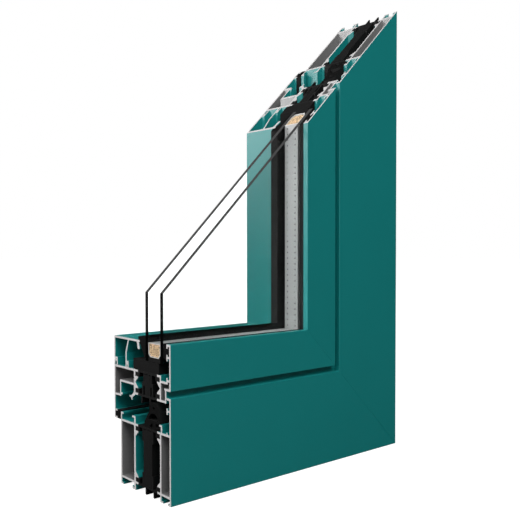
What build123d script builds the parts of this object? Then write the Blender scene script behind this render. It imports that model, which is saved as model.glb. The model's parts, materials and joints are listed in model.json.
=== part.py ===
import os

from build123d import *

# A corner of an aluminium window, sawn off square on the rail and at 45 degrees on the jamb.
# Millimetres. Depth runs from the outside face (0) to the room, height from the frame's outer edge.

# Overall sizes of the sample
rail_length = 252.0  # outer corner to the square saw cut
jamb_height = 404.0  # foot to the tip of the slanted saw cut
frame_depth = 70.0  # outside face to room side of the frame
face_slot = 5.0  # open joint between the outside faces of frame and sash
mitre_gap = 0.1  # hairline where rail and jamb meet
fit = 0.1  # clearance between pieces that are pushed together

# Aluminium walls
wall = 1.6
lip = 1.4  # thickness of small lips and flanges
spine = 2.1  # wall of the inner shells beside the insulating bars
arris = 0.5  # rounding of the corners that are seen from outside
outer_depth = 14.0  # depth of the outer shells without their jaws
inner_start = 48.0  # depth at which the inner shells begin
jaw = 3.7  # reach of the jaws that clamp an insulating bar
pocket = 3.5  # height of the pocket between web and claw
claw_root = 4.4  # height of a claw where it joins the wall
claw_nose = 0.8  # height of a claw at its tip

# Frame section
frame_web_low = 5.2  # underside of the lower webs
frame_chamber = 42.7  # clear height between the frame's webs
upstand_rise = 5.4  # walls that stand above the upper webs
foot_lip = 4.0  # reach of the lips that the frame stands on
inner_foot = 5.0  # reach of the inner wall's foot
foot_curl = 2.4  # height of the curl at the end of that foot
upstand_back = 1.2  # how far the outer upstand sits in front of the inner wall
upstand_lip = 3.6
screen_hook = 4.0  # depth of the small hook on the outer upper web

# Grooves behind the outside faces
groove_depth = 5.2
tee_drop = 10.2  # groove top to the underside of the tee's stem
tee_below = 1.8
tee_above = 1.3
hook_drop = 3.0

# Sash section
seal_chamber = 22.3  # frame's upper web to the sash's lower web
sash_chamber = 16.0  # clear height between the sash's webs
sash_skirt = 9.1  # how far the outer chamber reaches below the sash's face
skirt_play = 0.4  # groove of the frame's face to that chamber
skirt_shelf = 2.4  # reach of the shelf past the front of that chamber
glazing_rebate = 23.4  # top of the sash's face to the floor under the glass
shelf_rise = 4.8  # lower edge of the face to the chamber's upper web
shelf_lip = 4.7
back_upstand = 4.4  # room-side wall above the glazing floor
back_lip = 3.8
rebate_overlap = 6.2  # how far the sash's room-side wall laps over the frame
seal_groove = 5.7  # height of the groove for the rebate gasket, with one lip
seal_groove_depth = 4.6
rebate_seal = 5.4  # thickness of the rebate gasket between frame and sash
hardware_back = 10.5  # room side of the sash to the hardware groove
hardware_drop = 4.7  # lower web to the bottom of the room-side chamber
hardware_rise = 6.7  # lower web to the top of the hardware groove
hardware_lip = 2.2
hook_reach = 6.4  # reach of the forked hook at the groove's front
hook_fall = 4.9
catch_start = 10.0  # inner shell's front to the upstand that holds the bead
catch_rise = 4.9
catch_lip = 1.2

# Insulating bars and foam
bar_neck = 1.8
bar_leg = 1.7
leg_reach = 9.4
foot_chamfer = 0.8
core_start = 25.0
core_end = 36.5
core_play = 0.7  # empty space over the foam
foot_front = 21.4  # depths of the frame bar's two feet
foot_back = 32.4
frame_foot_gap = 0.5  # the bar's feet end this far above the floor
seal_leg = 26.5  # depth of the sash bar's leg that meets the centre gasket
seal_leg_drop = 2.5
drip_leg = 38.0  # depth of the sash bar's longer leg
drip_leg_drop = 4.9

# Centre gasket
bulb_radius = 6.5
bulb_depth = 21.5
bulb_hole = 1.4
bulb_hole_drop = 4.2
gasket_play = 0.2  # frame's upstand to the gasket
gasket_back = 35.0
gasket_heel = 4.3  # height of the gasket's room-side heel
gasket_floor = 0.9
gasket_leg_front = 20.0
gasket_leg_back = 24.0
gasket_tongue = 1.1  # thickness of the tongue behind the frame's upstand
gasket_roof = 5.0  # bar to the underside of the gasket's hollow
gasket_skin = 1.0
crescent_floor = 6.7  # bar to the floor of the crescent hollow
crescent_rise = 5.2

# Glass unit and its gaskets
outer_seal = 4.0
outer_seal_height = 10.6
outer_seal_proud = 0.2
pane = 4.0
glass_gap = 16.0
glass_seat = 8.1  # thickness of the foam strip under the glass
glass_play = 0.3
strip_front = 1.3  # outer shell to the foam strip
strip_back = 2.7
seal_margin = 3.3  # lower edge of the panes to the spacer
spacer_height = 10.5
spacer_chamfer = 2.4
spacer_wall = 0.5
wedge = 8.2  # room-side pane to the bead's nose
wedge_height = 12.6
wedge_proud = 4.4  # how far it stands over the bead along the glass
wedge_lip = 2.4  # how far its lip stands over the bead's nose
wedge_lap = 2.2

# Glazing bead
bead_step = 0.5  # the bead ends this far below the top of the sash's face
bead_gap = 0.3
nose_leg = 7.0
nose_width = 2.9
nose_lean = 1.5
bead_leg_knee = 11.4  # glazing floor to the knee of the snap leg
bead_leg_top = 3.6  # how far the snap leg leans forward above the knee

# Corner cleats
cleat_arm = 42.0
cleat_wall = 4.0
cleat_play = 0.2

# Heights and depths that follow
sash_depth = frame_depth + rebate_seal + seal_groove_depth
frame_web_high = frame_web_low + wall + frame_chamber
bar_top = frame_web_high + wall
frame_upstand = bar_top + upstand_rise
sash_web_low = bar_top + seal_chamber
sash_web_high = sash_web_low + wall + sash_chamber
glazing_floor = sash_web_high + wall
sash_low = sash_web_low + sash_skirt
sash_high = glazing_floor + glazing_rebate
frame_face = sash_low - face_slot
jaw_front = outer_depth + jaw
jaw_back = inner_start - jaw
upstand_front = outer_depth - wall - upstand_back
skirt_depth = groove_depth + skirt_play
gasket_front = upstand_front + upstand_lip + gasket_play
seal_top = sash_web_low - seal_leg_drop - fit
skirt_low = frame_upstand - rebate_overlap
back_top = glazing_floor + back_upstand
glass_face = groove_depth + outer_seal
gap_front = glass_face + pane
gap_back = gap_front + glass_gap
glass_back = gap_back + pane
glass_low = glazing_floor + fit + glass_seat + glass_play
spacer_low = glass_low + seal_margin
bead_top = sash_high - bead_step
nose = glass_back + wedge
catch = inner_start + catch_start
catch_end = catch + wall + catch_lip


# A straight wall in the section, between two depths and two heights
def plate(depth_a, depth_b, height_a, height_b):
    centre = Pos((depth_a + depth_b) / 2, (height_a + height_b) / 2)
    return centre * Rectangle(depth_b - depth_a, height_b - height_a)


def outline(*points):
    return make_face(Polyline(*points, close=True))


def joined(*pieces):
    return Sketch() + list(pieces)


# Rounds the corners that lie on the outside face, the room-side face or a nose
def rounded(section, *depths):
    corners = [v for v in section.vertices() for depth in depths if abs(v.X - depth) < fit / 2]
    return fillet(corners, arris)


# A jaw that leans towards a web: lean is -1 below an upper web and 1 above a lower one
def claw(root, tip, seat, lean):
    return outline(
        (root, seat),
        (tip, seat),
        (tip, seat + lean * claw_nose),
        (root, seat + lean * claw_root),
    )


def claw_pair(root, tip, web_low, web_high):
    upper = claw(root, tip, web_high - pocket, -1)
    lower = claw(root, tip, web_low + wall + pocket, 1)
    return joined(upper, lower)


# The tee and top lip behind an outside face
def face_groove(top):
    stem = top - tee_drop
    return joined(
        plate(0, groove_depth, top - wall, top),
        plate(wall, groove_depth, stem, stem + lip),
        plate(groove_depth - lip, groove_depth, stem - tee_below, stem + lip + tee_above),
    )


def frame_outer_shell():
    lip_end = upstand_front + upstand_lip
    return joined(
        plate(0, wall, 0, frame_face),
        plate(0, foot_lip, 0, lip),
        plate(outer_depth - foot_lip, outer_depth, 0, lip),
        plate(0, jaw_front, frame_web_low, frame_web_low + wall),
        plate(0, jaw_front, frame_web_high, bar_top),
        plate(outer_depth - wall, outer_depth, 0, bar_top),
        plate(upstand_front, upstand_front + wall, frame_web_high, frame_upstand),
        plate(upstand_front, lip_end, frame_upstand - lip, frame_upstand),
        plate(screen_hook, screen_hook + lip, frame_web_high, bar_top + lip),
        claw_pair(outer_depth, jaw_front, frame_web_low, frame_web_high),
        face_groove(frame_face),
    )


def frame_inner_shell():
    foot_end = inner_start + inner_foot
    back = frame_depth - foot_lip
    return joined(
        plate(frame_depth - wall, frame_depth, 0, frame_upstand),
        plate(inner_start, inner_start + spine, 0, frame_upstand),
        plate(jaw_back, frame_depth, frame_web_low, frame_web_low + wall),
        plate(jaw_back, frame_depth, frame_web_high, bar_top),
        plate(back, frame_depth, 0, lip),
        plate(back, frame_depth, frame_upstand - lip, frame_upstand),
        plate(inner_start, foot_end, 0, lip),
        plate(foot_end - lip, foot_end, 0, foot_curl),
        plate(inner_start, foot_end, frame_upstand - lip, frame_upstand),
        claw_pair(inner_start, jaw_back, frame_web_low, frame_web_high),
    )


def sash_outer_shell():
    shelf = sash_low + shelf_rise
    hook = groove_depth - lip
    return joined(
        plate(0, wall, sash_low, sash_high),
        plate(hook, groove_depth, sash_high - hook_drop, sash_high),
        plate(0, skirt_depth + skirt_shelf, sash_low, sash_low + wall),
        plate(skirt_depth, skirt_depth + wall, sash_web_low, sash_low + wall),
        plate(skirt_depth, jaw_front, sash_web_low, sash_web_low + wall),
        plate(outer_depth - wall, outer_depth, sash_web_low, glazing_floor),
        plate(outer_depth - wall, jaw_front, sash_web_high, glazing_floor),
        plate(0, groove_depth, shelf + wall, shelf + 2 * wall),
        plate(hook, groove_depth, shelf, shelf + shelf_lip),
        plate(hook, outer_depth, shelf, shelf + wall),
        claw_pair(outer_depth, jaw_front, sash_web_low, sash_web_high),
        face_groove(sash_high),
    )


def sash_inner_shell():
    hardware = sash_depth - hardware_back
    chamber_low = sash_web_low - hardware_drop
    groove_top = sash_web_low + hardware_rise
    seal = sash_depth - seal_groove_depth
    hook_low = sash_web_low - hook_fall
    hook_mid = (sash_web_low + hook_low) / 2
    hook_root = inner_start + spine
    hook_tip = hook_root + hook_reach
    fork = (hook_root + hook_tip) / 2
    return joined(
        plate(sash_depth - wall, sash_depth, skirt_low, back_top),
        plate(sash_depth - back_lip, sash_depth, back_top - lip, back_top),
        plate(seal, sash_depth, skirt_low, skirt_low + lip),
        plate(seal, sash_depth, skirt_low + seal_groove, skirt_low + seal_groove + lip),
        plate(hardware, sash_depth, chamber_low, chamber_low + wall),
        plate(hardware, hardware + wall, chamber_low, groove_top + wall),
        plate(hardware - hardware_lip, hardware, chamber_low + wall, chamber_low + wall + lip),
        plate(inner_start, hardware + wall, groove_top, groove_top + wall),
        plate(inner_start, inner_start + spine, sash_web_low, glazing_floor),
        plate(jaw_back, sash_depth, sash_web_high, glazing_floor),
        plate(jaw_back, hook_root, sash_web_low, sash_web_low + wall),
        outline(
            (inner_start, sash_web_low),
            (hook_root, sash_web_low + wall),
            (fork + lip / 2, hook_mid + lip / 2),
            (fork - lip / 2, hook_mid - lip / 2),
        ),
        plate(fork - lip / 2, hook_tip, hook_mid - lip / 2, hook_mid + lip / 2),
        plate(fork - lip / 2, fork + lip / 2, hook_low, hook_mid + lip / 2),
        claw_pair(inner_start, jaw_back, sash_web_low, sash_web_high),
        plate(catch, catch + wall, sash_web_high, glazing_floor + catch_rise),
        plate(catch, catch_end, glazing_floor + catch_rise - lip, glazing_floor + catch_rise),
    )


# An insulating bar in line with two webs. Its feet lie in the pockets on the side that lean points to.
def insulating_bar(web, lean):
    front = jaw_front + fit
    back = jaw_back - fit
    near = web if lean < 0 else web + wall
    foot_a = near + lean * fit
    foot_b = near + lean * (pocket - fit)
    web_far = web + wall if lean < 0 else web
    pieces = [plate(front, back, web, web + wall)]
    for edge, root, side in ((front, outer_depth, 1), (back, inner_start, -1)):
        seat = root + side * fit
        pieces.append(
            outline(
                (edge + side * bar_neck, web_far),
                (edge, web_far),
                (edge, foot_a),
                (seat + side * foot_chamfer, foot_a),
                (seat, foot_a + lean * foot_chamfer),
                (seat, foot_b - lean * foot_chamfer),
                (seat + side * foot_chamfer, foot_b),
                (edge + side * bar_neck, foot_b),
            )
        )
    return joined(*pieces)


# Two thin legs beside the foam, outside or inside its faces
def bar_legs(web, lean, inset):
    near = web if lean < 0 else web + wall
    low = min(near, near + lean * leg_reach)
    front = core_start - fit - bar_leg + inset
    back = core_end + fit - inset
    return joined(
        plate(front, front + bar_leg, low, low + leg_reach),
        plate(back, back + bar_leg, low, low + leg_reach),
    )


def frame_upper_bar():
    return joined(insulating_bar(frame_web_high, -1), bar_legs(frame_web_high, -1, 0))


def frame_lower_bar():
    feet = [plate(d, d + bar_leg, frame_foot_gap, frame_web_low) for d in (foot_front, foot_back)]
    return joined(insulating_bar(frame_web_low, 1), bar_legs(frame_web_low, 1, 0), *feet)


def frame_core():
    return plate(core_start, core_end, frame_web_low + wall + fit, frame_web_high - core_play)


def sash_upper_bar():
    return joined(insulating_bar(sash_web_high, -1), bar_legs(sash_web_high, -1, bar_leg + fit))


def sash_lower_bar():
    return joined(
        insulating_bar(sash_web_low, 1),
        bar_legs(sash_web_low, 1, 0),
        plate(seal_leg, seal_leg + bar_leg, sash_web_low - seal_leg_drop, sash_web_low),
        plate(drip_leg, drip_leg + bar_leg, sash_web_low - drip_leg_drop, sash_web_low),
    )


def sash_core():
    side = bar_leg + 2 * fit
    low = sash_web_low + wall + fit
    return plate(core_start + side, core_end - side, low, sash_web_high - core_play)


# A hollow rubber bulb on a heel, with a tongue that hooks behind the frame's upstand
def centre_gasket():
    base = bar_top + fit
    bulb = seal_top - bulb_radius
    heel = base + gasket_heel
    roof = base + gasket_roof
    tongue = base + gasket_floor
    body = joined(
        Pos(bulb_depth, bulb) * Circle(bulb_radius),
        plate(bulb_depth, seal_leg + bar_leg, bulb, seal_top),
        outline(
            (bulb_depth - bulb_radius, bulb),
            (gasket_front, roof),
            (gasket_leg_front, roof),
            (gasket_leg_front, tongue + gasket_tongue),
            (gasket_front, tongue + gasket_tongue),
            (gasket_front, tongue),
            (gasket_leg_front, base),
            (gasket_back, base),
            (gasket_back, heel),
            (seal_leg + bar_leg, bulb),
        ),
    )
    middle = bulb_depth + lip
    half = middle - gasket_front - gasket_skin
    radius = (half**2 + crescent_rise**2) / (2 * crescent_rise)
    floor = base + crescent_floor
    crescent = Pos(middle, floor + crescent_rise - radius) * Circle(radius)
    below = plate(middle - radius, middle + radius, floor - 2 * radius, floor)
    side_hollow = outline(
        (gasket_leg_back, roof),
        (gasket_leg_back, tongue),
        (gasket_leg_back + gasket_roof, tongue),
    )
    hole = Pos(bulb_depth + lip / 2, seal_top - bulb_hole_drop) * Circle(bulb_hole)
    return body - (crescent - below) - side_hollow - hole


def glazing_bead():
    knee = glazing_floor + bead_leg_knee
    snap = catch_end + fit
    under_lip = glazing_floor + catch_rise - lip - fit
    rest = glazing_floor + fit
    back_leg = sash_depth - back_lip - fit
    stub = back_top + bead_gap
    under = bead_top - wall
    return joined(
        plate(sash_depth - wall, sash_depth, stub, bead_top),
        plate(nose, sash_depth, under, bead_top),
        outline(
            (nose + nose_lean, under),
            (nose + nose_lean + nose_width, under),
            (nose + nose_width, bead_top - nose_leg),
            (nose, bead_top - nose_leg),
        ),
        outline(
            (snap, knee),
            (snap + wall, knee),
            (snap + wall - bead_leg_top, under),
            (snap - bead_leg_top, under),
        ),
        plate(snap, snap + wall, rest, knee),
        plate(snap - catch_lip + fit, snap + wall, under_lip - lip, under_lip),
        plate(back_leg - lip, sash_depth, stub, stub + lip),
        plate(back_leg - lip, back_leg, rest, stub + lip),
    )


def outer_gasket():
    stem = sash_high - tee_drop
    hook = groove_depth - lip
    body = groove_depth + fit
    return joined(
        plate(wall + fit, hook - fit, stem + lip + fit, sash_high - wall - fit),
        plate(hook - fit, body, stem + lip + tee_above + fit, sash_high - hook_drop - fit),
        plate(body, glass_face - fit, sash_high - outer_seal_height, sash_high + outer_seal_proud),
    )


# A wedge between the room-side pane and the bead, with a lip over the bead's nose
def inner_gasket():
    front = glass_back + fit
    top = bead_top + wedge_proud
    low = bead_top - wedge_height
    over = bead_top + fit
    under = bead_top - wall - fit
    return outline(
        (front, top),
        (nose + wedge_lap, over + wedge_lip),
        (nose + wedge_lap, over),
        (nose - fit, over),
        (nose - fit, under),
        (nose + nose_lean / 2, under),
        (nose - wedge / 8, under - wall),
        (front + lip, low),
        (front, low),
    )


def rebate_gasket():
    seal = sash_depth - seal_groove_depth - fit
    low = skirt_low + lip + fit
    high = skirt_low + seal_groove - fit
    return joined(
        plate(seal, sash_depth - wall - fit, low, high),
        plate(frame_depth + fit, seal, skirt_low, skirt_low + seal_groove + lip),
    )


def rebate_strip():
    low = glazing_floor + fit
    return plate(outer_depth + strip_front, inner_start + strip_back, low, low + glass_seat)


# The spacer's outline, drawn in from its seat between the panes
def spacer_outline(inset):
    front = gap_front + fit + inset
    back = gap_back - fit - inset
    low = spacer_low + inset
    return outline(
        (front + spacer_chamfer, low),
        (back - spacer_chamfer, low),
        (back, low + spacer_chamfer),
        (back, spacer_low + spacer_height - inset),
        (front, spacer_low + spacer_height - inset),
        (front, low + spacer_chamfer),
    )


def spacer():
    return spacer_outline(0) - spacer_outline(spacer_wall)


def desiccant():
    return spacer_outline(spacer_wall + fit)


def edge_seal():
    whole = plate(gap_front + fit, gap_back - fit, glass_low, spacer_low + spacer_chamfer)
    return whole - spacer_outline(-fit)


# The rail lies along X and the jamb stands along Z, with the sample centred over the origin
right = rail_length / 2
outside = -sash_depth / 2
corner = Vector(right, outside, 0)
rail_plane = Plane(origin=(-right, outside, 0), x_dir=(0, 1, 0), z_dir=(1, 0, 0))
jamb_plane = Plane(origin=(right, outside, 0), x_dir=(0, 1, 0), z_dir=(0, 0, 1))
mitre = Plane(origin=corner, x_dir=(0, 1, 0), z_dir=(1, 0, 1))
slant = Plane(origin=(right, outside, jamb_height), x_dir=(0, 1, 0), z_dir=(-1, 0, 1))


def rail(section, gap):
    length = extrude(rail_plane * section, amount=rail_length)
    return split(length, bisect_by=mitre.offset(-gap / 2), keep=Keep.BOTTOM)


def jamb(section, gap):
    length = extrude(jamb_plane * section, amount=jamb_height)
    mitred = split(length, bisect_by=mitre.offset(gap / 2), keep=Keep.TOP)
    return split(mitred, bisect_by=slant, keep=Keep.BOTTOM)


# A piece that is bent round the corner in one length
def bent(section):
    return rail(section, 0) + jamb(section, 0)


# A sheet of glass, cut by both saw cuts. Its outline is drawn in X and Z and pushed towards the room.
def glass(front):
    sheet = Plane(origin=(0, outside + front, 0), x_dir=(1, 0, 0), z_dir=(0, -1, 0))
    edge = right - glass_low
    face = outline(
        (-right, glass_low),
        (edge, glass_low),
        (edge, jamb_height - glass_low),
        (-right, jamb_height - rail_length),
    )
    return extrude(sheet * face, amount=-pane)


# An angle with two equal arms, between two heights, that turns round the corner of a chamber
def angle(low, high, end):
    return outline(
        (right - low, low),
        (right - end, low),
        (right - end, high),
        (right - high, high),
        (right - high, end),
        (right - low, end),
    )


def cleat(profile, depth_a, depth_b):
    front = depth_a + cleat_play
    start = Plane(origin=(0, outside + front, 0), x_dir=(1, 0, 0), z_dir=(0, -1, 0))
    return extrude(start * profile, amount=front + cleat_play - depth_b)


# The frame's cleats are hollow, the sash's is solid
def frame_cleat(depth_a, depth_b):
    low = frame_web_low + wall + cleat_play
    high = frame_web_high - cleat_play
    end = high + cleat_arm
    hollow = angle(low + cleat_wall, high - cleat_wall, end - cleat_wall)
    return cleat(angle(low, high, end) - hollow, depth_a, depth_b)


def sash_cleat():
    low = sash_web_low + hardware_rise + wall + cleat_play
    high = sash_web_high - cleat_play
    return cleat(angle(low, high, high + cleat_arm), inner_start + spine, sash_depth - wall)


mitred_sections = {
    "frame_outer_shell": rounded(frame_outer_shell(), 0),
    "frame_inner_shell": rounded(frame_inner_shell(), frame_depth),
    "frame_upper_bar": frame_upper_bar(),
    "frame_lower_bar": frame_lower_bar(),
    "frame_core": frame_core(),
    "centre_gasket": centre_gasket(),
    "sash_outer_shell": rounded(sash_outer_shell(), 0),
    "sash_inner_shell": rounded(sash_inner_shell(), sash_depth),
    "sash_upper_bar": sash_upper_bar(),
    "sash_lower_bar": sash_lower_bar(),
    "sash_core": sash_core(),
    "glazing_bead": rounded(glazing_bead(), nose, sash_depth),
    "outer_gasket": outer_gasket(),
    "inner_gasket": inner_gasket(),
    "rebate_gasket": rebate_gasket(),
    "rebate_strip": rebate_strip(),
}

pieces = {
    "outer_pane": glass(glass_face),
    "inner_pane": glass(gap_back),
    "spacer": bent(spacer()),
    "desiccant": bent(desiccant()),
    "edge_seal": bent(edge_seal()),
    "frame_outer_cleat": frame_cleat(wall, outer_depth - wall),
    "frame_inner_cleat": frame_cleat(inner_start + spine, frame_depth - wall),
    "sash_cleat": sash_cleat(),
}
for name, section in mitred_sections.items():
    pieces[name + "_rail"] = rail(section, mitre_gap)
    pieces[name + "_jamb"] = jamb(section, mitre_gap)

os.makedirs("parts", exist_ok=True)
for name, piece in pieces.items():
    export_step(piece, f"parts/{name}.step")
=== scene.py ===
import json
import math
import bmesh
import bpy
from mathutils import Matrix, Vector


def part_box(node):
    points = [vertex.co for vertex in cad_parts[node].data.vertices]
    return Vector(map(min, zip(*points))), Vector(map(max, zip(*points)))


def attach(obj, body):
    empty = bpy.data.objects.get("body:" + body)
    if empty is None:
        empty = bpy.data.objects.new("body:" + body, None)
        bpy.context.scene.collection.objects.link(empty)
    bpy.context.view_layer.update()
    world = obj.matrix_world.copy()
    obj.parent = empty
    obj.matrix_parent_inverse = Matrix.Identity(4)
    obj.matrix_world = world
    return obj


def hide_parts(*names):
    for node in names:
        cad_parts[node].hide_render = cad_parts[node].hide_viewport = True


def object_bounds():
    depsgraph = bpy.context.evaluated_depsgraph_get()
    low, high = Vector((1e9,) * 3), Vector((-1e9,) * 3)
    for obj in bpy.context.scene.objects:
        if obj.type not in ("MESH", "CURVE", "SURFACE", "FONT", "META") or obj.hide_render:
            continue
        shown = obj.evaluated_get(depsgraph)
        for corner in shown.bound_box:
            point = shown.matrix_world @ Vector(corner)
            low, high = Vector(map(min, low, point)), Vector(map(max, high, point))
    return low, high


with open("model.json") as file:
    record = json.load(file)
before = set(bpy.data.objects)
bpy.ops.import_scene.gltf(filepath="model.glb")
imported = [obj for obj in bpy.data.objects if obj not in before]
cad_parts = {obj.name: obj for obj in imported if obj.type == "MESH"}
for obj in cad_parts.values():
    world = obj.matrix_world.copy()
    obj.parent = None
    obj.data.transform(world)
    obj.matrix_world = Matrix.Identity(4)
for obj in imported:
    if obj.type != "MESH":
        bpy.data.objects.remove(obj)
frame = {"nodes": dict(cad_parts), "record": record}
cadLow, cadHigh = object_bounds()
nodes = frame["nodes"]
scene = bpy.context.scene
mm = 0.001
print("window corner loaded:", len(nodes), "pieces")

# where things lie on the profiles, in millimetres: depth from the outside face,
# height from the frame's outer edge
profile = {
    "left": cadLow.x / mm,  # square saw cut across the rail
    "right": cadHigh.x / mm,  # outer side of the jamb
    "outside": cadLow.y / mm,
    "tip": cadHigh.z / mm,  # tip of the slanted saw cut
    "cutSkin": 0.05,  # a point this near to a saw cut lies on it
    "wallSkin": 0.12,  # a point this near to a wall lies on it
    # closed chambers, which the coat never reaches: nearest and farthest depth, lowest and highest height
    "chambers": {
        "frameOuter": (1.6, 12.4, 6.8, 49.5),
        "frameInner": (50.1, 68.4, 6.8, 49.5),
        "sashOuter": (7.2, 12.4, 75.0, 87.3),
        "sashOuterTop": (1.6, 7.2, 84.1, 87.3),
        "sashOuterLip": (1.6, 3.8, 87.3, 88.9),
        "sashInner": (50.1, 78.4, 81.7, 91.0),
        "sashInnerFoot": (71.1, 78.4, 70.3, 81.7),
    },
}


def grey(value):
    return (value, value, value, 1)


def addNode(tree, kind, inputs=None, **settings):
    made = tree.nodes.new(kind)
    for name, value in settings.items():
        setattr(made, name, value)
    for name, value in (inputs or {}).items():
        if isinstance(value, bpy.types.NodeSocket):
            tree.links.new(value, made.inputs[name])
        else:
            made.inputs[name].default_value = value
    return made


def calc(tree, operation, *values):
    return addNode(tree, "ShaderNodeMath", dict(enumerate(values)), operation=operation).outputs[0]


# a Mix node takes values at sockets 2 and 3, and colours at 6 and 7
def mixValue(tree, factor, a, b):
    return addNode(tree, "ShaderNodeMix", {0: factor, 2: a, 3: b}).outputs[0]


def mixColour(tree, factor, a, b):
    return addNode(tree, "ShaderNodeMix", {0: factor, 6: a, 7: b}, data_type="RGBA").outputs[2]


# sockets are given as kind and labels
def addSockets(tree, way, sockets):
    for kind, labels in sockets.items():
        for label in labels:
            tree.interface.new_socket(label, in_out=way, socket_type=kind)


def newGroup(name, inputs, outputs):
    tree = bpy.data.node_groups.new(name, "ShaderNodeTree")
    addSockets(tree, "INPUT", inputs)
    addSockets(tree, "OUTPUT", {"NodeSocketFloat": outputs})
    start = tree.nodes.new("NodeGroupInput")
    end = tree.nodes.new("NodeGroupOutput")
    return tree, start.outputs, end.inputs


def useGroup(tree, group, inputs):
    return addNode(tree, "ShaderNodeGroup", inputs, node_tree=group).outputs


# depth and height of a point on the profile, how far along it lies, and whether it lies on a saw cut
def makeProfilePlace():
    tree, start, end = newGroup(
        "profilePlace", {"NodeSocketVector": ["Place"]}, ["Depth", "Height", "Along", "Cut"]
    )
    scaled = addNode(tree, "ShaderNodeVectorMath", {0: start["Place"], "Scale": 1 / mm}, operation="SCALE")
    x, y, z = addNode(tree, "ShaderNodeSeparateXYZ", {0: scaled.outputs[0]}).outputs
    fromJambSide = calc(tree, "SUBTRACT", profile["right"], x)
    squareCut = calc(tree, "LESS_THAN", x, profile["left"] + profile["cutSkin"])
    slant = calc(tree, "SUBTRACT", z, x)
    slantCut = calc(tree, "GREATER_THAN", slant, profile["tip"] - profile["right"] - profile["cutSkin"])
    tree.links.new(calc(tree, "SUBTRACT", y, profile["outside"]), end["Depth"])
    tree.links.new(calc(tree, "MINIMUM", z, fromJambSide), end["Height"])
    tree.links.new(calc(tree, "MAXIMUM", z, fromJambSide), end["Along"])
    tree.links.new(calc(tree, "MAXIMUM", squareCut, slantCut), end["Cut"])
    return tree


# 1 inside the closed chambers
def makeBareChambers():
    tree, start, end = newGroup("bareChambers", {"NodeSocketFloat": ["Depth", "Height"]}, ["Bare"])
    bare = None
    for nearDepth, farDepth, lowHeight, highHeight in profile["chambers"].values():
        depthReach = (farDepth - nearDepth) / 2 + profile["wallSkin"]
        heightReach = (highHeight - lowHeight) / 2 + profile["wallSkin"]
        inDepth = calc(tree, "COMPARE", start["Depth"], (nearDepth + farDepth) / 2, depthReach)
        inHeight = calc(tree, "COMPARE", start["Height"], (lowHeight + highHeight) / 2, heightReach)
        inside = calc(tree, "MULTIPLY", inDepth, inHeight)
        bare = inside if bare is None else calc(tree, "MAXIMUM", bare, inside)
    tree.links.new(bare, end["Bare"])
    return tree


# fine speckle and broad clouds
grainNoise = {
    "Fine": {"Detail": 3.0, "Roughness": 0.6},
    "Broad": {"Detail": 2.0, "Roughness": 0.5},
}


def makeSurfaceGrain():
    tree, start, end = newGroup(
        "surfaceGrain",
        {"NodeSocketVector": ["Place"], "NodeSocketFloat": ["Fine scale", "Broad scale"]},
        list(grainNoise),
    )
    for label, noise in grainNoise.items():
        inputs = {"Vector": start["Place"], "Scale": start[label + " scale"], **noise}
        tree.links.new(addNode(tree, "ShaderNodeTexNoise", inputs).outputs["Fac"], end[label])
    return tree


# arcs that a round saw blade leaves on a cut, in millimetres
sawBlade = {
    "axle": (46.0, -190.0, 0.0),  # depth and height
    "pitch": 1.1,
    "wobble": 1.4,
    "patches": {"Scale": 0.35, "Detail": 4.0},
    "arcShare": 0.35,
}


def makeSawMarks():
    tree, start, end = newGroup("sawMarks", {"NodeSocketFloat": ["Depth", "Height"]}, ["Marks"])
    spot = addNode(tree, "ShaderNodeCombineXYZ", {0: start["Depth"], 1: start["Height"]}).outputs[0]
    reach = addNode(
        tree, "ShaderNodeVectorMath", {0: spot, 1: sawBlade["axle"]}, operation="DISTANCE"
    ).outputs["Value"]
    patches = addNode(tree, "ShaderNodeTexNoise", {"Vector": spot, **sawBlade["patches"]}).outputs["Fac"]
    shifted = calc(tree, "MULTIPLY_ADD", patches, sawBlade["wobble"], reach)
    wave = calc(tree, "SINE", calc(tree, "MULTIPLY", shifted, 2 * math.pi / sawBlade["pitch"]))
    tree.links.new(calc(tree, "MULTIPLY_ADD", wave, sawBlade["arcShare"], patches), end["Marks"])
    return tree


# lines that the die draws along an extrusion
drawnLines = {
    "alongShare": 0.01,  # lengths along the profile count this much, which draws the noise out into lines
    "noise": {"Detail": 3.0, "Roughness": 0.65},
}


def makeDieLines():
    tree, start, end = newGroup(
        "dieLines", {"NodeSocketFloat": ["Depth", "Height", "Along", "Scale"]}, ["Lines"]
    )
    along = calc(tree, "MULTIPLY", start["Along"], drawnLines["alongShare"])
    spot = addNode(
        tree, "ShaderNodeCombineXYZ", {0: start["Depth"], 1: start["Height"], 2: along}
    ).outputs[0]
    inputs = {"Vector": spot, "Scale": start["Scale"], **drawnLines["noise"]}
    tree.links.new(addNode(tree, "ShaderNodeTexNoise", inputs).outputs["Fac"], end["Lines"])
    return tree


profilePlace = makeProfilePlace()
bareChambers = makeBareChambers()
surfaceGrain = makeSurfaceGrain()
sawMarks = makeSawMarks()
dieLines = makeDieLines()
print("shared surface effects made")


def newMaterial(name):
    material = bpy.data.materials.new(name)
    material.use_nodes = True
    tree = material.node_tree
    tree.nodes.clear()
    output = tree.nodes.new("ShaderNodeOutputMaterial")
    shader = tree.nodes.new("ShaderNodeBsdfPrincipled")
    tree.links.new(shader.outputs["BSDF"], output.inputs["Surface"])
    place = tree.nodes.new("ShaderNodeTexCoord").outputs["Object"]
    return material, tree, shader, place


def setShader(shader, values):
    for name, value in values.items():
        shader.inputs[name].default_value = value


def feed(tree, shader, sources):
    for name, source in sources.items():
        tree.links.new(source, shader.inputs[name])


def bump(tree, height, distance):
    made = addNode(tree, "ShaderNodeBump", {"Height": height, "Distance": distance, "Strength": 1.0})
    return made.outputs["Normal"]


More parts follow.
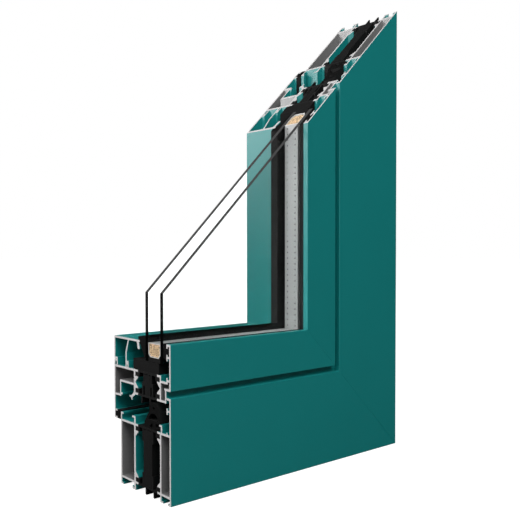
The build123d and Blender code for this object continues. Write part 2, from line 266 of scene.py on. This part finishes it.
# aluminium extrusions: teal powder coat, bare chambers painted dark with painted shade, bright saw cuts
tealAluminium = {
    "coat": (0.0015, 0.172, 0.168, 1),
    "coatShade": (0.0012, 0.162, 0.158, 1),
    "coatRough": (0.38, 0.46),
    # bare metal inside the closed chambers: the uncoated aluminium, painted far darker than the cleats' bare
    # metal as painted shade of the chambers
    "bareShadedLight": grey(0.20),
    "bareShadedDark": grey(0.14),
    "bareRough": (0.34, 0.5),
    "cutLight": (0.55, 0.535, 0.535, 1),
    "cutDark": (0.44, 0.43, 0.43, 1),
    "cutRough": (0.42, 0.6),
    "metal": 0.3,  # sawn and bare surfaces are mostly matt
    "shine": 0.48,
    "grain": {"Fine scale": 1600, "Broad scale": 22},
    "lineScale": 2.2,
    "orangePeel": 0.5,  # height of the coat's grain, as a share of the relief
    "relief": 0.03 * mm,
}


def makeTealAluminium():
    look = tealAluminium
    material, tree, shader, place = newMaterial("tealAluminium")
    depth, height, along, cut = useGroup(tree, profilePlace, {"Place": place})
    spot = {"Depth": depth, "Height": height}
    bare = useGroup(tree, bareChambers, spot)["Bare"]
    fine, broad = useGroup(tree, surfaceGrain, {"Place": place, **look["grain"]})
    marks = useGroup(tree, sawMarks, spot)["Marks"]
    lines = useGroup(tree, dieLines, {**spot, "Along": along, "Scale": look["lineScale"]})["Lines"]
    coatColour = mixColour(tree, broad, look["coat"], look["coatShade"])
    bareShadedColour = mixColour(tree, lines, look["bareShadedLight"], look["bareShadedDark"])
    cutColour = mixColour(tree, marks, look["cutLight"], look["cutDark"])
    coatRough = mixValue(tree, fine, *look["coatRough"])
    bareRough = mixValue(tree, lines, *look["bareRough"])
    cutRough = mixValue(tree, marks, *look["cutRough"])
    orangePeel = calc(tree, "MULTIPLY", fine, look["orangePeel"])
    relief = mixValue(tree, cut, mixValue(tree, bare, orangePeel, lines), marks)
    feed(tree, shader, {
        "Base Color": mixColour(tree, cut, mixColour(tree, bare, coatColour, bareShadedColour), cutColour),
        "Metallic": calc(tree, "MULTIPLY", calc(tree, "MAXIMUM", bare, cut), look["metal"]),
        "Roughness": mixValue(tree, cut, mixValue(tree, bare, coatRough, bareRough), cutRough),
        "Normal": bump(tree, relief, look["relief"]),
    })
    setShader(shader, {"Specular IOR Level": look["shine"]})
    return material


# bare aluminium of the corner cleats
millAluminium = {
    "light": grey(0.52),
    "dark": grey(0.40),
    "rough": (0.35, 0.55),
    "metal": 1.0,
    "grain": {"Fine scale": 900, "Broad scale": 60},
    "relief": 0.02 * mm,
}


def makeMillAluminium():
    look = millAluminium
    material, tree, shader, place = newMaterial("millAluminium")
    fine, broad = useGroup(tree, surfaceGrain, {"Place": place, **look["grain"]})
    feed(tree, shader, {
        "Base Color": mixColour(tree, broad, look["light"], look["dark"]),
        "Roughness": mixValue(tree, fine, *look["rough"]),
        "Normal": bump(tree, fine, look["relief"]),
    })
    setShader(shader, {"Metallic": look["metal"]})
    return material


# black parts: painted darker at a sawn end and against the inner pane as painted shade, with their own grain
# elsewhere
blackParts = {
    "polyamide": {
        "side": grey(0.004), "sideShade": grey(0.003), "end": grey(0.0015), "rough": (0.6, 0.75),
        "grain": {"Fine scale": 1300, "Broad scale": 140}, "relief": 0.02 * mm, "shine": 0.13,
    },
    "foam": {
        "side": grey(0.004), "sideShade": grey(0.003), "end": grey(0.0015), "rough": (0.8, 0.95),
        "grain": {"Fine scale": 800, "Broad scale": 260}, "relief": 0.16 * mm, "shine": 0.13,
    },
    "rubber": {
        "side": grey(0.011), "sideShade": grey(0.009), "end": grey(0.0015), "rough": (0.75, 0.9),
        "grain": {"Fine scale": 1100, "Broad scale": 90}, "relief": 0.02 * mm, "shine": 0.06,
    },
    "sealant": {
        "side": grey(0.003), "sideShade": grey(0.002), "end": grey(0.0015), "rough": (0.6, 0.8),
        "grain": {"Fine scale": 500, "Broad scale": 120}, "relief": 0.08 * mm, "shine": 0.1,
    },
}


def makeBlack(name):
    look = blackParts[name]
    material, tree, shader, place = newMaterial(name)
    where = useGroup(tree, profilePlace, {"Place": place})
    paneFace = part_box("inner_pane")[1].y / mm - profile["outside"]
    # faces pressed against the inner pane and the sawn ends take the darker end colour: painted shade
    pressed = calc(tree, "COMPARE", where["Depth"], paneFace, profile["wallSkin"])
    paintedShadeFaces = calc(tree, "MAXIMUM", where["Cut"], pressed)
    fine, broad = useGroup(tree, surfaceGrain, {"Place": place, **look["grain"]})
    sideColour = mixColour(tree, broad, look["side"], look["sideShade"])
    feed(tree, shader, {
        "Base Color": mixColour(tree, paintedShadeFaces, sideColour, look["end"]),
        "Roughness": mixValue(tree, fine, *look["rough"]),
        "Normal": bump(tree, fine, look["relief"]),
    })
    setShader(shader, {"Specular IOR Level": look["shine"]})
    return material


# clear panes, whose sawn edges are painted near black: painted shade for the little light that comes out of
# them
clearGlass = {
    # the faces' tint is heavier than clear glass's own: partly the glass's tint, partly painted shade on
    # what lies behind the panes
    "face": (0.835, 0.85, 0.845, 1),
    "edge": grey(0.0001),
    "edgeRough": (0.35, 0.55),
    "edgeGloss": 0.8,
    "gloss": 0.35,  # the mirror layer on the faces, which does the shine
    "grain": {"Fine scale": 700, "Broad scale": 40},
    # the body bends no light
    "body": {"Transmission Weight": 1.0, "IOR": 1.0, "Coat IOR": 1.5, "Coat Roughness": 0.02},
    "shadowTint": (0.9, 0.92, 0.915, 1),
}


def makeClearGlass():
    look = clearGlass
    material, tree, shader, place = newMaterial("clearGlass")
    cut = useGroup(tree, profilePlace, {"Place": place})["Cut"]
    fine = useGroup(tree, surfaceGrain, {"Place": place, **look["grain"]})["Fine"]
    edgeRough = mixValue(tree, fine, *look["edgeRough"])
    feed(tree, shader, {
        "Base Color": mixColour(tree, cut, look["face"], look["edge"]),
        "Roughness": calc(tree, "MULTIPLY", cut, edgeRough),
        "Coat Weight": mixValue(tree, cut, look["gloss"], look["edgeGloss"]),
    })
    setShader(shader, look["body"])
    lampRay = tree.nodes.new("ShaderNodeLightPath").outputs["Is Shadow Ray"]
    letThrough = addNode(tree, "ShaderNodeBsdfTransparent", {"Color": look["shadowTint"]})
    mixed = addNode(
        tree, "ShaderNodeMixShader", {0: lampRay, 1: shader.outputs[0], 2: letThrough.outputs[0]}
    )
    output = next(n for n in tree.nodes if n.type == "OUTPUT_MATERIAL")
    tree.links.new(mixed.outputs[0], output.inputs["Surface"])
    return material


# satin aluminium of the spacer between the panes
spacerMetal = {
    "light": grey(0.27),
    "dark": grey(0.22),
    "rough": (0.38, 0.5),
    "metal": 0.25,
    "cut": (0.6, 0.59, 0.58, 1),
    "cutMetal": 0.3,
    "lineScale": 3.5,
    "relief": 0.01 * mm,
}


def makeSpacerMetal():
    look = spacerMetal
    material, tree, shader, place = newMaterial("spacerMetal")
    depth, height, along, cut = useGroup(tree, profilePlace, {"Place": place})
    spot = {"Depth": depth, "Height": height}
    lines = useGroup(tree, dieLines, {**spot, "Along": along, "Scale": look["lineScale"]})["Lines"]
    feed(tree, shader, {
        "Base Color": mixColour(tree, cut, mixColour(tree, lines, look["light"], look["dark"]), look["cut"]),
        "Metallic": mixValue(tree, cut, look["metal"], look["cutMetal"]),
        "Roughness": mixValue(tree, lines, *look["rough"]),
        "Normal": bump(tree, lines, look["relief"]),
    })
    return material


# beige drying beads, each with its own tone
dryingBeads = {
    "pale": (0.86, 0.62, 0.37, 1),
    # the solid filling carries no tone, so it takes this darkest colour: painted shade in the gaps between
    # beads and in the spacer's holes; the beads' own tones run from it to pale
    "darkToneAndGapShade": (0.012, 0.008, 0.005, 1),
    "rough": (0.7, 0.9),
    "tone": "beadTone",  # the attribute that keeps each bead's tone
    "dust": (0.4, 0.7),  # how far the fine grain changes a tone, and what it leaves at least
    "grain": {"Fine scale": 3000, "Broad scale": 500},
    "relief": 0.04 * mm,
}


def makeDryingBeads():
    look = dryingBeads
    material, tree, shader, place = newMaterial("dryingBeads")
    tone = addNode(tree, "ShaderNodeAttribute", attribute_name=look["tone"]).outputs["Fac"]
    fine, broad = useGroup(tree, surfaceGrain, {"Place": place, **look["grain"]})
    dusted = calc(tree, "MULTIPLY", tone, calc(tree, "MULTIPLY_ADD", fine, *look["dust"]))
    feed(tree, shader, {
        "Base Color": mixColour(tree, dusted, look["darkToneAndGapShade"], look["pale"]),
        "Roughness": mixValue(tree, broad, *look["rough"]),
        "Normal": bump(tree, fine, look["relief"]),
    })
    return material


finishes = {
    "teal_coat": makeTealAluminium(),
    "polyamide": makeBlack("polyamide"),
    "foam": makeBlack("foam"),
    "rubber": makeBlack("rubber"),
    "sealant": makeBlack("sealant"),
    "glass": makeClearGlass(),
    "spacer_metal": makeSpacerMetal(),
    "desiccant": makeDryingBeads(),
    "mill_aluminium": makeMillAluminium(),
}
for part in frame["record"]["subparts"]:
    for materialSlot in nodes[part["node"]].material_slots:
        materialSlot.material = finishes[part["material_slot"]]
print("finishes on:", ", ".join(finishes))

weldReach = 0.001 * mm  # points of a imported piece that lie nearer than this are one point


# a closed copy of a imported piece, to work on
def mergedCopy(node):
    shape = bmesh.new()
    shape.from_mesh(nodes[node].data)
    bmesh.ops.remove_doubles(shape, verts=shape.verts, dist=weldReach)
    for face in shape.faces:
        face.smooth = False
    return shape


def newTree(name, inputs):
    tree = bpy.data.node_groups.new(name, "GeometryNodeTree")
    mainSocket = {"NodeSocketGeometry": ["Geometry"]}
    addSockets(tree, "INPUT", {**mainSocket, **inputs})
    addSockets(tree, "OUTPUT", mainSocket)
    start = tree.nodes.new("NodeGroupInput").outputs
    end = tree.nodes.new("NodeGroupOutput").inputs
    return tree, start, end


# runs a node tree on a mesh and keeps the result as a plain piece
def grow(name, shape, tree, values):
    mesh = bpy.data.meshes.new(name)
    shape.to_mesh(mesh)
    shape.free()
    piece = bpy.data.objects.new(name, mesh)
    scene.collection.objects.link(piece)
    modifier = piece.modifiers.new("grow", "NODES")
    modifier.node_group = tree
    for item in tree.interface.items_tree:
        if item.in_out == "INPUT" and item.name in values:
            modifier[item.identifier] = values[item.name]
    depsgraph = bpy.context.evaluated_depsgraph_get()
    grown = bpy.data.meshes.new_from_object(
        piece.evaluated_get(depsgraph), preserve_all_data_layers=True, depsgraph=depsgraph
    )
    piece.modifiers.remove(modifier)
    piece.data = grown
    return piece


# two rows of breathing holes through the spacer's visible face, round the corner
spacerHoles = {
    "Pitch": 4.75 * mm,
    "Hole radius": 0.75 * mm,
    "Hole depth": 1.5 * mm,
    "Hole sides": 12,
    "rows": (0.2, 0.8),  # share of the spacer's width
    "endMargin": 3.0 * mm,
    "wallTop": 114.9 * mm,  # height of the visible face
}


def makeHoleTree():
    tree, start, end = newTree("spacerHoles", {
        "NodeSocketFloat": ["Pitch", "Hole radius", "Hole depth", "Row gap"],
        "NodeSocketInt": ["Hole sides"],
        "NodeSocketVector": ["Rail from", "Rail to", "Jamb from", "Jamb to"],
        "NodeSocketMaterial": ["Finish"],
    })
    drill = addNode(tree, "GeometryNodeMeshCylinder", {
        "Vertices": start["Hole sides"], "Radius": start["Hole radius"], "Depth": start["Hole depth"],
    }).outputs["Mesh"]
    firstRow = tree.nodes.new("GeometryNodeJoinGeometry")
    for side, turn in (("Rail", 0.0), ("Jamb", math.pi / 2)):
        line = addNode(tree, "GeometryNodeCurvePrimitiveLine", {
            "Start": start[side + " from"], "End": start[side + " to"],
        }).outputs["Curve"]
        spots = addNode(
            tree, "GeometryNodeResampleCurve", {"Curve": line, "Length": start["Pitch"]}, mode="LENGTH"
        ).outputs["Curve"]
        drills = addNode(tree, "GeometryNodeInstanceOnPoints", {
            "Points": spots, "Instance": drill, "Rotation": (0.0, turn, 0.0),
        }).outputs["Instances"]
        tree.links.new(drills, firstRow.inputs[0])
    gap = addNode(tree, "ShaderNodeCombineXYZ", {"Y": start["Row gap"]}).outputs[0]
    secondRow = addNode(
        tree, "GeometryNodeTransform", {"Geometry": firstRow.outputs[0], "Translation": gap}
    ).outputs[0]
    bothRows = tree.nodes.new("GeometryNodeJoinGeometry")
    tree.links.new(firstRow.outputs[0], bothRows.inputs[0])
    tree.links.new(secondRow, bothRows.inputs[0])
    drills = addNode(tree, "GeometryNodeRealizeInstances", {0: bothRows.outputs[0]}).outputs[0]
    drilled = addNode(
        tree, "GeometryNodeMeshBoolean",
        {"Mesh 1": start["Geometry"], "Mesh 2": drills}, operation="DIFFERENCE",
    ).outputs["Mesh"]
    whole = addNode(tree, "GeometryNodeRealizeInstances", {0: drilled}).outputs[0]
    finished = addNode(tree, "GeometryNodeSetMaterial", {"Geometry": whole, "Material": start["Finish"]})
    tree.links.new(finished.outputs[0], end["Geometry"])
    return tree


def makeSpacer():
    look = spacerHoles
    spacerLow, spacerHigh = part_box("spacer")
    width = spacerHigh.y - spacerLow.y
    firstRow, secondRow = (spacerLow.y + share * width for share in look["rows"])
    wallTop = look["wallTop"]
    jambFace = cadHigh.x - wallTop
    slantEnd = cadHigh.z - wallTop  # the slanted cut meets the jamb's visible face here
    margin = look["endMargin"]
    values = {label: look[label] for label in ("Pitch", "Hole radius", "Hole depth", "Hole sides")}
    values.update({
        "Row gap": secondRow - firstRow,
        "Rail from": (cadLow.x + margin, firstRow, wallTop),
        "Rail to": (jambFace - margin, firstRow, wallTop),
        "Jamb from": (jambFace, firstRow, wallTop + margin),
        "Jamb to": (jambFace, firstRow, slantEnd - margin),
        "Finish": finishes["spacer_metal"],
    })
    spacer = grow("perforatedSpacer", mergedCopy("spacer"), makeHoleTree(), values)
    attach(spacer, "root")
    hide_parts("spacer")
    print("spacer drilled:", len(spacer.data.polygons), "faces")


# drying beads on the two ends of the filling, where they show at the saw cuts
beadFill = {
    "Bead radius": 0.58 * mm,
    "Bead steps": 2,
    "Spacing": 0.88 * mm,
    "Density": 6.0e6,  # beads tried on each square metre before the close ones go
    "Seed": 7,
    "turn": 6.28,  # most that a bead is turned about each axis, in radians
    "stretch": (0.8, 1.1),
    "tone": (0.45, 1.0),
    "setBack": 0.7 * mm,  # the first beads lie this far behind the saw cut
}


# a Random Value node takes vectors at sockets 0 and 1, and values at 2 and 3
def randomVector(tree, seed, low, high):
    inputs = {0: (low, low, low), 1: (high, high, high), "Seed": seed}
    return addNode(tree, "FunctionNodeRandomValue", inputs, data_type="FLOAT_VECTOR").outputs[0]


def makeBeadTree():
    look = beadFill
    tree, start, end = newTree("beadFill", {
        "NodeSocketFloat": ["Bead radius", "Spacing", "Density", "Square end", "Slanted end"],
        "NodeSocketInt": ["Bead steps", "Seed"],
        "NodeSocketMaterial": ["Finish"],
    })
    middle = tree.nodes.new("GeometryNodeInputPosition").outputs[0]
    split = addNode(tree, "ShaderNodeSeparateXYZ", {0: middle}).outputs
    onSquare = calc(tree, "LESS_THAN", split["X"], start["Square end"])
    slant = calc(tree, "SUBTRACT", split["Z"], split["X"])
    onSlant = calc(tree, "GREATER_THAN", slant, start["Slanted end"])
    onCut = calc(tree, "MAXIMUM", onSquare, onSlant)
    ends = addNode(
        tree, "GeometryNodeSeparateGeometry",
        {"Geometry": start["Geometry"], "Selection": onCut}, domain="FACE",
    ).outputs["Selection"]
    scattered = addNode(tree, "GeometryNodeDistributePointsOnFaces", {
        "Mesh": ends, "Distance Min": start["Spacing"],
        "Density Max": start["Density"], "Seed": start["Seed"],
    }, distribute_method="POISSON").outputs["Points"]
    bead = addNode(tree, "GeometryNodeMeshIcoSphere", {
        "Radius": start["Bead radius"], "Subdivisions": start["Bead steps"],
    }).outputs["Mesh"]
    turn = randomVector(tree, start["Seed"], 0.0, look["turn"])
    stretch = randomVector(tree, start["Seed"], *look["stretch"])
    beads = addNode(tree, "GeometryNodeInstanceOnPoints", {
        "Points": scattered, "Instance": bead, "Rotation": turn, "Scale": stretch,
    }).outputs["Instances"]
    darkest, palest = look["tone"]
    tone = addNode(
        tree, "FunctionNodeRandomValue", {2: darkest, 3: palest, "Seed": start["Seed"]}, data_type="FLOAT"
    ).outputs[1]
    toned = addNode(
        tree, "GeometryNodeStoreNamedAttribute",
        {"Geometry": beads, "Name": dryingBeads["tone"], "Value": tone},
        data_type="FLOAT", domain="INSTANCE",
    ).outputs[0]
    whole = tree.nodes.new("GeometryNodeJoinGeometry")
    tree.links.new(start["Geometry"], whole.inputs[0])
    tree.links.new(toned, whole.inputs[0])
    plain = addNode(tree, "GeometryNodeRealizeInstances", {0: whole.outputs[0]}).outputs[0]
    finished = addNode(tree, "GeometryNodeSetMaterial", {"Geometry": plain, "Material": start["Finish"]})
    tree.links.new(finished.outputs[0], end["Geometry"])
    return tree


def makeBeads():
    look = beadFill
    shape = mergedCopy("desiccant")
    drop = math.sqrt(2) * look["setBack"]  # the set-back of the slanted end, measured straight down
    cuts = (
        (Vector((cadLow.x + look["setBack"], 0, 0)), Vector((-1, 0, 0))),
        (Vector((cadHigh.x, 0, cadHigh.z - drop)), Vector((-1, 0, 1)).normalized()),
    )
    # draw both ends back from the saw cuts
    for point, facing in cuts:
        geometry = shape.verts[:] + shape.edges[:] + shape.faces[:]
        cut = bmesh.ops.bisect_plane(shape, geom=geometry, plane_co=point, plane_no=facing, clear_outer=True)
        rim = [g for g in cut["geom_cut"] if isinstance(g, bmesh.types.BMEdge)]
        bmesh.ops.contextual_create(shape, geom=rim)
    bmesh.ops.recalc_face_normals(shape, faces=shape.faces)
    values = {label: look[label] for label in ("Bead radius", "Bead steps", "Spacing", "Density", "Seed")}
    # faces whose middle lies nearer to a saw cut than twice the set-back
    values["Square end"] = cadLow.x + 2 * look["setBack"]
    values["Slanted end"] = cadHigh.z - cadHigh.x - 2 * drop
    values["Finish"] = finishes["desiccant"]
    beads = grow("dryingBeads", shape, makeBeadTree(), values)
    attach(beads, "root")
    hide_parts("desiccant")
    print("drying beads poured:", len(beads.data.polygons), "faces")


makeSpacer()
makeBeads()


# the white backdrop stands behind the sample, and a mirror finds it only there
backdrop = {
    "side": (0.10, 0.755, 0.648),  # the way to its middle
    "from": 0.90,  # cosines of the angle to that way, at its rim and where it is in full
    "to": 0.97,
    "white": 1.0,
    "pastPanes": 1.7,  # makes up for what the panes take
    "mirrored": 0.6,  # how bright a mirror finds it
    "room": 0.02,  # the rest of the studio, as a mirror shows it
}


# how bright the eye and a mirror find the backdrop in a direction, and which of them looks
def makeSeenMasks(tree, toward):
    path = tree.nodes.new("ShaderNodeLightPath").outputs
    turns = calc(tree, "ADD", path["Glossy Depth"], path["Diffuse Depth"])
    unturned = calc(tree, "LESS_THAN", turns, 1)
    pastPanes = calc(tree, "MULTIPLY", path["Is Transmission Ray"], unturned)
    straight = calc(tree, "MAXIMUM", path["Is Camera Ray"], pastPanes)
    mirrored = calc(tree, "MAXIMUM", path["Is Glossy Ray"], path["Is Transmission Ray"])
    mirrored = calc(tree, "MULTIPLY", mirrored, calc(tree, "SUBTRACT", 1.0, straight))
    white = mixValue(tree, pastPanes, backdrop["white"], backdrop["pastPanes"])
    way = addNode(tree, "ShaderNodeVectorMath", {0: toward}, operation="NORMALIZE").outputs[0]
    facing = addNode(tree, "ShaderNodeVectorMath", {0: way, 1: backdrop["side"]}, operation="DOT_PRODUCT")
    mirrorView = addNode(tree, "ShaderNodeMapRange", {
        "Value": facing.outputs["Value"], "From Min": backdrop["from"], "From Max": backdrop["to"],
        "To Min": backdrop["room"], "To Max": backdrop["mirrored"],
    }).outputs[0]
    return straight, white, mirrored, mirrorView


# pale floor that stays white to the eye and still takes the shadow
studioFloor = {
    "radius": 9.0,
    "steps": 64,
    "pale": grey(0.25),
    "nearGlow": 0.9,
    "farGlow": 1.0,
    "nearReach": 0.4,  # metres from the middle of the sample
    "farReach": 2.0,
}


def makeFloor():
    look = studioFloor
    shape = bmesh.new()
    bmesh.ops.create_circle(shape, cap_ends=True, segments=look["steps"], radius=look["radius"])
    mesh = bpy.data.meshes.new("studioFloor")
    shape.to_mesh(mesh)
    shape.free()
    floor = bpy.data.objects.new("studioFloor", mesh)
    scene.collection.objects.link(floor)
    material = bpy.data.materials.new("studioFloor")
    material.use_nodes = True
    tree = material.node_tree
    tree.nodes.clear()
    place = tree.nodes.new("ShaderNodeTexCoord").outputs["Object"]
    reach = addNode(tree, "ShaderNodeVectorMath", {0: place}, operation="LENGTH").outputs["Value"]
    brightness = addNode(tree, "ShaderNodeMapRange", {
        "Value": reach, "From Min": look["nearReach"], "From Max": look["farReach"],
        "To Min": look["nearGlow"], "To Max": look["farGlow"],
    }).outputs[0]
    matt = addNode(tree, "ShaderNodeBsdfDiffuse", {"Color": look["pale"]})
    straight, white, mirrored, mirrorView = makeSeenMasks(tree, place)
    strength = calc(tree, "MULTIPLY", calc(tree, "MULTIPLY", straight, white), brightness)
    glow = addNode(tree, "ShaderNodeEmission", {"Strength": strength})
    lit = addNode(tree, "ShaderNodeAddShader", {0: matt.outputs[0], 1: glow.outputs[0]})
    mirrorGlow = addNode(tree, "ShaderNodeEmission", {"Strength": mirrorView})
    both = addNode(tree, "ShaderNodeMixShader", {0: mirrored, 1: lit.outputs[0], 2: mirrorGlow.outputs[0]})
    addNode(tree, "ShaderNodeOutputMaterial", {"Surface": both.outputs[0]})
    mesh.materials.append(material)


studioLight = {
    "ambient": 0.1,
    "aim": (0.0, 0.0, 0.2),
    # place, width and power of each square softbox
    "softboxes": {
        "frontSoftbox": ((-0.45, -1.75, 1.85), 1.05, 41.0),
        "highSoftbox": ((-0.95, -0.85, 1.45), 0.9, 12.5),
        "leftSoftbox": ((-1.70, 0.10, 0.55), 0.9, 20.0),
        "backLeftSoftbox": ((-0.95, 1.35, 0.85), 0.9, 22.0),
        "rightFill": ((1.60, 0.45, 0.50), 0.9, 6.0),
    },
}


def makeLight():
    look = studioLight
    for name, (place, width, power) in look["softboxes"].items():
        lamp = bpy.data.lights.new(name, "AREA")
        lamp.shape = "SQUARE"
        lamp.size = width
        lamp.energy = power
        holder = bpy.data.objects.new(name, lamp)
        holder.location = place
        toAim = Vector(look["aim"]) - Vector(place)
        holder.rotation_euler = toAim.to_track_quat("-Z", "Y").to_euler()
        scene.collection.objects.link(holder)
    world = bpy.data.worlds.new("studio")
    world.use_nodes = True
    scene.world = world
    tree = world.node_tree
    tree.nodes.clear()
    toward = tree.nodes.new("ShaderNodeTexCoord").outputs["Generated"]
    straight, white, mirrored, mirrorView = makeSeenMasks(tree, toward)
    strength = mixValue(tree, mirrored, look["ambient"], mirrorView)
    strength = mixValue(tree, straight, strength, white)
    background = addNode(tree, "ShaderNodeBackground", {"Color": grey(1), "Strength": strength})
    addNode(tree, "ShaderNodeOutputWorld", {"Surface": background.outputs[0]})


photoCamera = {
    "place": (-0.40780, -0.46511, 0.18735),
    "yaw": 40.8416,  # degrees, as are the next two
    "pitch": -1.3029,
    "roll": 0.027,
    "lens": 49.587,
    "sensor": 36.0,
    "shift": (-0.0036, 0.00125),
    "nearest": 0.01,
}


def makeCamera():
    look = photoCamera
    lens = bpy.data.cameras.new("photoCamera")
    lens.sensor_width = look["sensor"]
    lens.lens = look["lens"]
    lens.shift_x, lens.shift_y = look["shift"]
    lens.clip_start = look["nearest"]
    camera = bpy.data.objects.new("photoCamera", lens)
    camera.location = look["place"]
    turns = (90 + look["pitch"], look["roll"], -look["yaw"])  # 90 looks level
    camera.rotation_euler = [math.radians(turn) for turn in turns]
    scene.collection.objects.link(camera)
    scene.camera = camera


makeFloor()
makeLight()
makeCamera()
scene.view_settings.view_transform = "Standard"
print("studio and camera set")
